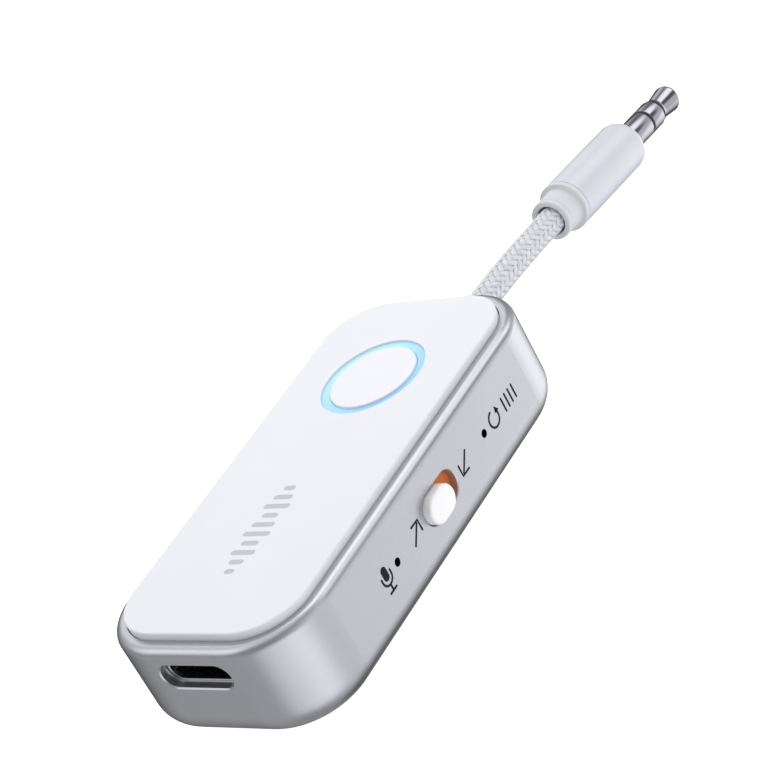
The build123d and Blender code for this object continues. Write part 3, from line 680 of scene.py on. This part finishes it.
# ---------------------------------------------------------------- case
# The lower case: one deep ABS shell with a rounded floor, sprayed with satin pearl-silver
# paint. Mica flakes of 0.04 mm give it a faint sparkle; drawn at 0.15 mm so that they show.
pearl_paint, tree, in_mm = new_finish("satin pearl silver paint on ABS")
paint_drift = add_node(
    tree, "ShaderNodeTexNoise", {"Vector": (in_mm, "Vector"), "Scale": 0.08, "Detail": 2.0}
)
paint_tone = add_node(
    tree,
    "ShaderNodeMix",
    {0: (paint_drift, 0), 6: srgb("B1B2B6"), 7: srgb("B9BABE")},
    data_type="RGBA",
)
flakes = add_node(tree, "ShaderNodeTexVoronoi", {"Vector": (in_mm, "Vector"), "Scale": 6.5})
flake_light = add_node(
    tree, "ShaderNodeMapRange", {"Value": (flakes, "Color"), "To Min": 0.0, "To Max": 0.05}
)
flaked_tone = add_node(
    tree,
    "ShaderNodeMix",
    {0: (flake_light, 0), 6: (paint_tone, 2), 7: srgb("FFFFFF")},
    data_type="RGBA",
)
orange_peel = add_node(
    tree, "ShaderNodeTexNoise", {"Vector": (in_mm, "Vector"), "Scale": 3.2, "Detail": 1.0}
)
paint_relief = add_node(
    tree, "ShaderNodeBump", {"Height": (orange_peel, 0), "Distance": 0.000002}
)

# The walls of the case's two pin holes are painted near black as shade inside the holes. The squeeze
# keeps the mark off the opposite side.
SQUEEZE = Vector((0.03, 1, 1))
PIN_HOLES = [Vector((12.4, -9.7, 7.05)), Vector((12.4, 10.2, 7.05))]
PIN_HOLE_REACH = 0.48
squeezed = add_node(
    tree, "ShaderNodeVectorMath", {0: (in_mm, "Vector"), 1: SQUEEZE}, operation="MULTIPLY"
)
pin_hole_shade = None
for hole in PIN_HOLES:
    away = add_node(
        tree,
        "ShaderNodeVectorMath",
        {0: (squeezed, 0), 1: Vector([a * b for a, b in zip(hole, SQUEEZE)])},
        operation="DISTANCE",
    )
    within = add_node(
        tree, "ShaderNodeMath", {0: (away, "Value"), 1: PIN_HOLE_REACH}, operation="LESS_THAN"
    )
    pin_hole_shade = add_node(
        tree,
        "ShaderNodeMath",
        {0: (within, 0), 1: (pin_hole_shade, 0) if pin_hole_shade else 0.0},
        operation="ADD",
    )
# Painted shade: inside the pin holes the paint turns near black and loses its metal.
shell_tone = add_node(
    tree,
    "ShaderNodeMix",
    {0: (pin_hole_shade, 0), 6: (flaked_tone, 2), 7: srgb("0B0B0C")},
    data_type="RGBA",
)
shell_metal = add_node(
    tree, "ShaderNodeMapRange", {"Value": (pin_hole_shade, 0), "To Min": 0.85, "To Max": 0.0}
)
pearl = add_node(
    tree,
    "ShaderNodeBsdfPrincipled",
    {
        "Base Color": (shell_tone, 2),
        "Metallic": (shell_metal, 0),
        "Roughness": 0.30,
        "IOR": 1.5,
        "Coat Weight": 0.25,
        "Coat Roughness": 0.25,
        "Normal": (paint_relief, 0),
    },
)
add_node(tree, "ShaderNodeOutputMaterial", {"Surface": (pearl, 0)})
dress(pearl_paint, "housing")

# ---------------------------------------------------------------- battery
# A flat lithium pouch cell in crimped aluminium laminate, stuck down on foam tape, with two
# wires in red silicone to the board. The foil is a dull grey metal and the foam black and matt.
pouch_foil = moulded_finish(
    "aluminium laminate pouch",
    "A6A8AC",
    "C2C4C8",
    6.0,
    0.7,
    0.02,
    {"Metallic": 1.0, "Roughness": 0.38},
)
foam_tape = moulded_finish(
    "black foam tape", "1A1A1A", "2B2B2B", 2.0, 0.35, 0.05, {"Roughness": 0.95, "IOR": 1.45}
)
silicone_sleeve = moulded_finish(
    "red silicone wire sleeve", "8E1512", "A81D18", 2.0, 0.3, 0.004, {"Roughness": 0.45, "IOR": 1.43}
)
dress(pouch_foil, "battery")
dress(foam_tape, "battery_pad")
dress(silicone_sleeve, "battery_leads", "audio_leads")

# ---------------------------------------------------------------- main board
# A glass-fibre board under green solder mask, with tracks at 0.4 mm pitch, on ribs and four
# screwed bosses. On it are the radio under its tinned can, chips, and the ring's lamps.
# Solder mask: a deep green gloss, crossed by the paler lines of the tracks.
solder_mask, tree, in_mm = new_finish("green solder mask on FR4")
tracks = add_node(
    tree,
    "ShaderNodeTexBrick",
    {
        "Vector": (in_mm, "Vector"),
        "Color1": srgb("0E4A2E"),
        "Color2": srgb("0B3F27"),
        "Mortar": srgb("1C6B43"),
        "Scale": 1.0,
        "Mortar Size": 0.03,
        "Brick Width": 1.9,
        "Row Height": 0.4,
    },
)
track_relief = add_node(
    tree, "ShaderNodeBump", {"Height": (tracks, "Fac"), "Distance": 0.00003}
)
mask = add_node(
    tree,
    "ShaderNodeBsdfPrincipled",
    {
        "Base Color": (tracks, "Color"),
        "Roughness": 0.3,
        "IOR": 1.55,
        "Normal": (track_relief, 0),
    },
)
add_node(tree, "ShaderNodeOutputMaterial", {"Surface": (mask, 0)})
dress(solder_mask, "main_board")

# Tinned steel is a bright, slightly blurred grey, moulding compound near black and matt, the
# ceramic a dull tan, and the lamps' packages a warm white.
drawn_steel = moulded_finish(
    "tinned drawn steel", "A9ABAE", "BDBFC2", 2.5, 0.3, 0.003, {"Metallic": 1.0, "Roughness": 0.3}
)
moulding_compound = moulded_finish(
    "black epoxy moulding compound",
    "17171A",
    "202024",
    1.5,
    0.15,
    0.006,
    {"Roughness": 0.65, "IOR": 1.55},
)
fired_ceramic = moulded_finish(
    "fired ceramic", "A58A66", "BBA07C", 1.0, 0.2, 0.004, {"Roughness": 0.55, "IOR": 1.6}
)
lamp_package = moulded_finish(
    "white lamp package", "E8E6CF", "F4F2DF", 1.0, 0.2, 0.002, {"Roughness": 0.35, "IOR": 1.5}
)
dress(drawn_steel, "board_screws", "radio_shield", "crystal")
dress(moulding_compound, "audio_codec", "charger_chip")
dress(fired_ceramic, "chip_antenna", "chip_capacitors")
dress(lamp_package, "ring_leds")

# ---------------------------------------------------------------- charging port
# A USB-C receptacle: a drawn stainless shell soldered to the board by four tabs, a black
# nylon tongue, and gold-plated contacts on both of its faces.
# Stainless steel: bright and a little blurred. Gold plate: warm, and about as bright.
shell_steel = moulded_finish(
    "drawn stainless steel",
    "B8B9BC",
    "CDCED1",
    3.0,
    0.2,
    0.002,
    {"Metallic": 1.0, "Roughness": 0.22},
)
gold_plate = moulded_finish(
    "gold plated contact", "D9A94E", "E6BC63", 1.0, 0.1, 0.001, {"Metallic": 1.0, "Roughness": 0.2}
)
dress(shell_steel, "usb_shell")
dress(black_nylon, "usb_tongue")
dress(gold_plate, "usb_contacts")

# ---------------------------------------------------------------- slide switch
# A small sliding switch under the board; its lever fits between two prongs of an orange
# carrier, and a white knob stands on the carrier through the slot in the case.
KNOB_CENTRE = Vector((0, -0.00095, 0.00705))
KNOB_LENGTH = 0.0047
KNOB_HEIGHT = 0.00335
KNOB_BACK_X = 0.01235
KNOB_FACE_X = 0.0142
KNOB_ROUND = 0.0003
KNOB_ROUND_STEPS = 7
KNOB_ARC_POINTS = 28

# Acetal: orange with a waxy, half-dull surface. The knob's ABS: a purer white than the cover.
orange_pom = moulded_finish(
    "orange acetal", "C7671F", "D4742A", 2.0, 0.25, 0.003, {"Roughness": 0.5, "IOR": 1.48}
)
white_abs = moulded_finish(
    "white ABS knob", "FCFCFC", "FFFFFF", 3.0, 0.25, 0.001, {"Roughness": 0.38, "IOR": 1.54}
)


def stadium(centre, x, length, height):
    """A loop with round ends, as long as given along Y and as tall along Z."""
    loop = []
    for end, first in ((1, -90), (-1, 90)):
        for i in range(KNOB_ARC_POINTS + 1):
            turn = math.radians(first + 180 * i / KNOB_ARC_POINTS)
            y = end * (length - height) / 2 + math.cos(turn) * height / 2
            loop.append(Vector((x, centre.y + y, centre.z + math.sin(turn) * height / 2)))
    return loop


def stacked(name, loops, finish):
    """A closed skin through loops of equal count, capped at both ends."""
    build = bmesh.new()
    rings = [[build.verts.new(p) for p in loop] for loop in loops]
    for a, b in zip(rings, rings[1:]):
        for i in range(len(a)):
            j = (i + 1) % len(a)
            build.faces.new((a[i], a[j], b[j], b[i]))
    build.faces.new(rings[0])
    build.faces.new(rings[-1])
    return new_piece(name, mesh_of(name, build), finish)


# Two loops on the knob's straight sides keep their shading flat.
KNOB_BACK_LOOP = 0.0006
KNOB_FACE_LOOP = 0.0004
knob_steps = [
    (KNOB_BACK_X, 0.0),
    (KNOB_BACK_X + KNOB_BACK_LOOP, 0.0),
    (KNOB_FACE_X - KNOB_ROUND - KNOB_FACE_LOOP, 0.0),
]
for i in range(KNOB_ROUND_STEPS + 1):
    turn = math.radians(90 * i / KNOB_ROUND_STEPS)
    knob_steps.append(
        (KNOB_FACE_X - KNOB_ROUND * (1 - math.sin(turn)), KNOB_ROUND * (1 - math.cos(turn)))
    )
knob_loops = []
for x, inset in knob_steps:
    knob_loops.append(stadium(KNOB_CENTRE, x, KNOB_LENGTH - 2 * inset, KNOB_HEIGHT - 2 * inset))
knob = stacked("slide_knob", knob_loops, white_abs)
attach(knob, "slider")
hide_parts("slider_knob")
dress(orange_pom, "slider_carrier")
dress(black_nylon, "slide_switch_lever")
dress(drawn_steel, "slide_switch_case")

# ---------------------------------------------------------------- reset switch, microphone
# A side push switch behind a pin hole, and a microphone whose black rubber boot seals it
# to the other hole in the case's wall.
# Rubber: near black and dull.
boot_rubber = moulded_finish(
    "black rubber boot", "121212", "1B1B1B", 2.0, 0.3, 0.01, {"Roughness": 0.8, "IOR": 1.52}
)
dress(black_nylon, "reset_switch_case", "reset_switch_plunger")
dress(drawn_steel, "microphone")
dress(boot_rubber, "microphone_boot")

# ---------------------------------------------------------------- button and light ring
# A dome switch under a flush white disc. Round the disc stands a clear acrylic light guide,
# lit from below by four lamps, a quarter of a millimetre below the cover's face.
BUTTON_CENTRE = Vector((0, 0.01315, 0))
UPWARD = Vector((0, 0, 1))
dress(black_nylon, "button_switch_case", "button_switch_plunger")

# Lit acrylic: pale cyan at the far left of the ring, a deeper blue at the near right.
LIGHT_GUIDE_GLOW = 0.28
RING_BLUER_WAY = Vector((0.8, -0.6, 0))
RING_PALE_AT = -14.0
RING_DEEP_AT = -1.8
lit_acrylic, tree, in_mm = new_finish("lit acrylic light guide")
across_ring = add_node(
    tree,
    "ShaderNodeVectorMath",
    {0: (in_mm, "Vector"), 1: RING_BLUER_WAY},
    operation="DOT_PRODUCT",
)
ring_share = add_node(
    tree,
    "ShaderNodeMapRange",
    {"Value": (across_ring, "Value"), "From Min": RING_PALE_AT, "From Max": RING_DEEP_AT},
)
ring_tone = add_node(
    tree,
    "ShaderNodeMix",
    {0: (ring_share, 0), 6: srgb("ACDDEA"), 7: srgb("84BBE6")},
    data_type="RGBA",
)
lit = add_node(
    tree,
    "ShaderNodeBsdfPrincipled",
    {
        "Base Color": (ring_tone, 2),
        "Roughness": 0.25,
        "IOR": 1.49,
        "Emission Color": (ring_tone, 2),
        "Emission Strength": LIGHT_GUIDE_GLOW,
    },
)
add_node(tree, "ShaderNodeOutputMaterial", {"Surface": (lit, 0)})

RING_PROFILE = [
    (13.05, 5.2),
    (13.05, 6.18),
    (12.0, 6.18),
    (12.0, 7.2),
    (11.2, 7.2),
    (11.2, 6.6),
    (9.45, 6.6),
    (9.45, 5.75),
    (11.6, 5.75),
    (11.6, 5.2),
]
ring = turned("light_guide_ring", eased(RING_PROFILE, 0.06), BUTTON_CENTRE, UPWARD, lit_acrylic, 160)
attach(ring, "receiver")
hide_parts("light_ring")

# The disc's ABS: a shade whiter than the cover and a little less matt.
disc_abs = moulded_finish(
    "fine matt white ABS disc", "F4F5F9", "F8F9FC", 6.0, 0.22, 0.0012, {"Roughness": 0.5, "IOR": 1.54}
)
DISC_PROFILE = [
    (10.5, 0),
    (10.5, 1.5),
    (10.95, 1.5),
    (10.95, 2.2),
    (12.1, 2.2),
    (12.1, 4.6),
    (10.95, 4.6),
    (10.95, 5.55),
    (11.5, 5.55),
    (11.5, 5.12),
    (13.3, 5.12),
    (13.285, 3.6),
    (13.275, 1.8),
    (13.27, 0),
]
disc = turned("button_disc", eased(DISC_PROFILE, 0.14), BUTTON_CENTRE, UPWARD, disc_abs, 160)
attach(disc, "button")
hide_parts("button_cap")

# ---------------------------------------------------------------- top cover
# A flat ABS lid snapped into the case, with the very fine matt grain of a spark-eroded
# mould: 0.08 mm, drawn at 0.2 mm so that it shows.
cover_abs = moulded_finish(
    "spark-eroded matt white ABS",
    "F0F1F4",
    "F5F6F9",
    9.0,
    0.2,
    0.0016,
    {"Roughness": 0.55, "IOR": 1.54},
)
dress(cover_abs, "top_cover")

# ---------------------------------------------------------------- printing
# Pad-printed ink, 0.012 mm thick: a row of grey bars on the cover, and black symbols beside
# the controls: a microphone, an arrow out, an arrow in, and a turning arrow with its bars.
INK_THICKNESS = 0.000012
PEN = 0.27

# Printing ink: flat and dull, the black one with hardly any shine.
grey_ink = moulded_finish(
    "grey pad-printing ink", "C5C7CC", "CBCDD2", 2.0, 0.2, 0.0008, {"Roughness": 0.5}
)
black_ink = moulded_finish(
    "black pad-printing ink",
    "09090A",
    "101011",
    2.0,
    0.2,
    0.0008,
    {"Roughness": 0.6, "Specular IOR Level": 0.2},
)


def stroke(points, width, cap_steps=8):
    """The outline of a pen stroke with round ends through these points."""
    points = [Vector(p) for p in points]
    left, right = [], []
    for i, p in enumerate(points):
        way = (points[min(i + 1, len(points) - 1)] - points[max(i - 1, 0)]).normalized()
        side = Vector((-way.y, way.x)) * width / 2
        left.append(p + side)
        right.append(p - side)
    outline = list(left)
    for end, way in ((points[-1], points[-1] - points[-2]), (points[0], points[0] - points[1])):
        along = way.normalized() * width / 2
        side = Vector((-along.y, along.x))
        for i in range(1, cap_steps):
            turn = math.pi * i / cap_steps
            outline.append(end + side * math.cos(turn) + along * math.sin(turn))
        if end == points[-1]:
            outline += reversed(right)
    return outline


def arc(centre, radius, first, last, steps=20):
    """Points on an arc, with its angles in degrees."""
    turns = [math.radians(first + (last - first) * i / steps) for i in range(steps + 1)]
    return [(centre[0] + radius * math.cos(t), centre[1] + radius * math.sin(t)) for t in turns]


def printed(name, outlines, origin, right, up, finish):
    """Thin ink shapes on a flat face; outlines are in millimetres from the origin."""
    build = bmesh.new()
    out = right.cross(up)
    for outline in outlines:
        flat = [origin + right * u * MM + up * v * MM for u, v in outline]
        base = [build.verts.new(p) for p in flat]
        face = [build.verts.new(p + out * INK_THICKNESS) for p in flat]
        build.faces.new(base)
        build.faces.new(face)
        for i in range(len(base)):
            j = (i + 1) % len(base)
            build.faces.new((base[i], base[j], face[j], face[i]))
    piece = new_piece(name, mesh_of(name, build), finish)
    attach(piece, "receiver")
    return piece


COVER_FACE = Vector((0, 0, 0.0133))
LEFTWARD = Vector((-1, 0, 0))
BAR_HEIGHTS = [1.5, 2.5, 3.5, 2.1, 3.0, 3.6, 2.3, 3.2, 1.9, 1.3]
BAR_WIDTH = 0.7
BARS_START = -5.0
BARS_RUN = 12.7
BARS_CENTRE = 0.2

bars = []
for i, height in enumerate(BAR_HEIGHTS):
    along = BARS_START - BARS_RUN * i / (len(BAR_HEIGHTS) - 1)
    bar_low = (along, BARS_CENTRE - height / 2 + BAR_WIDTH / 2)
    bar_high = (along, BARS_CENTRE + height / 2 - BAR_WIDTH / 2)
    bars.append(stroke([bar_low, bar_high], BAR_WIDTH))
printed("cover_bars", bars, COVER_FACE, ALONG_CASE, LEFTWARD, grey_ink)

SIDE_FACE = Vector((0.01325, 0, 0.00705))
MICROPHONE_PEN = 0.26
MICROPHONE_HEAD = 0.95

cradle = [(-12.85, 0.35), (-12.85, 0.0), *arc((-12.0, 0.0), 0.85, 180, 360), (-11.15, 0.35)]
microphone = [
    stroke([(-12.0, 0.1), (-12.0, 0.85)], MICROPHONE_HEAD),
    stroke(cradle, MICROPHONE_PEN),
    stroke([(-12.0, -0.98), (-12.0, -1.45)], MICROPHONE_PEN),
    stroke([(-12.6, -1.62), (-11.4, -1.62)], MICROPHONE_PEN),
]
arrow_out = [
    stroke([(-6.4, -0.85), (-4.75, 0.8)], PEN),
    stroke([(-5.75, 1.0), (-4.45, 1.0), (-4.45, -0.3)], PEN),
]
arrow_in = [
    stroke([(6.4, 0.95), (4.75, -0.7)], PEN),
    stroke([(4.45, 0.4), (4.45, -0.9), (5.75, -0.9)], PEN),
]
turning_arrow = [
    stroke(arc((12.6, 0.0), 0.95, 100, 390), PEN),
    [(13.15, 0.25), (13.95, 0.3), (13.35, 1.05)],
]
reset_bars = [stroke([(u, -0.8), (u, 0.8)], PEN) for u in (14.9, 15.7, 16.5, 17.3)]
printed(
    "side_symbols",
    microphone + arrow_out + arrow_in + turning_arrow + reset_bars,
    SIDE_FACE,
    ALONG_CASE,
    UPWARD,
    black_ink,
)
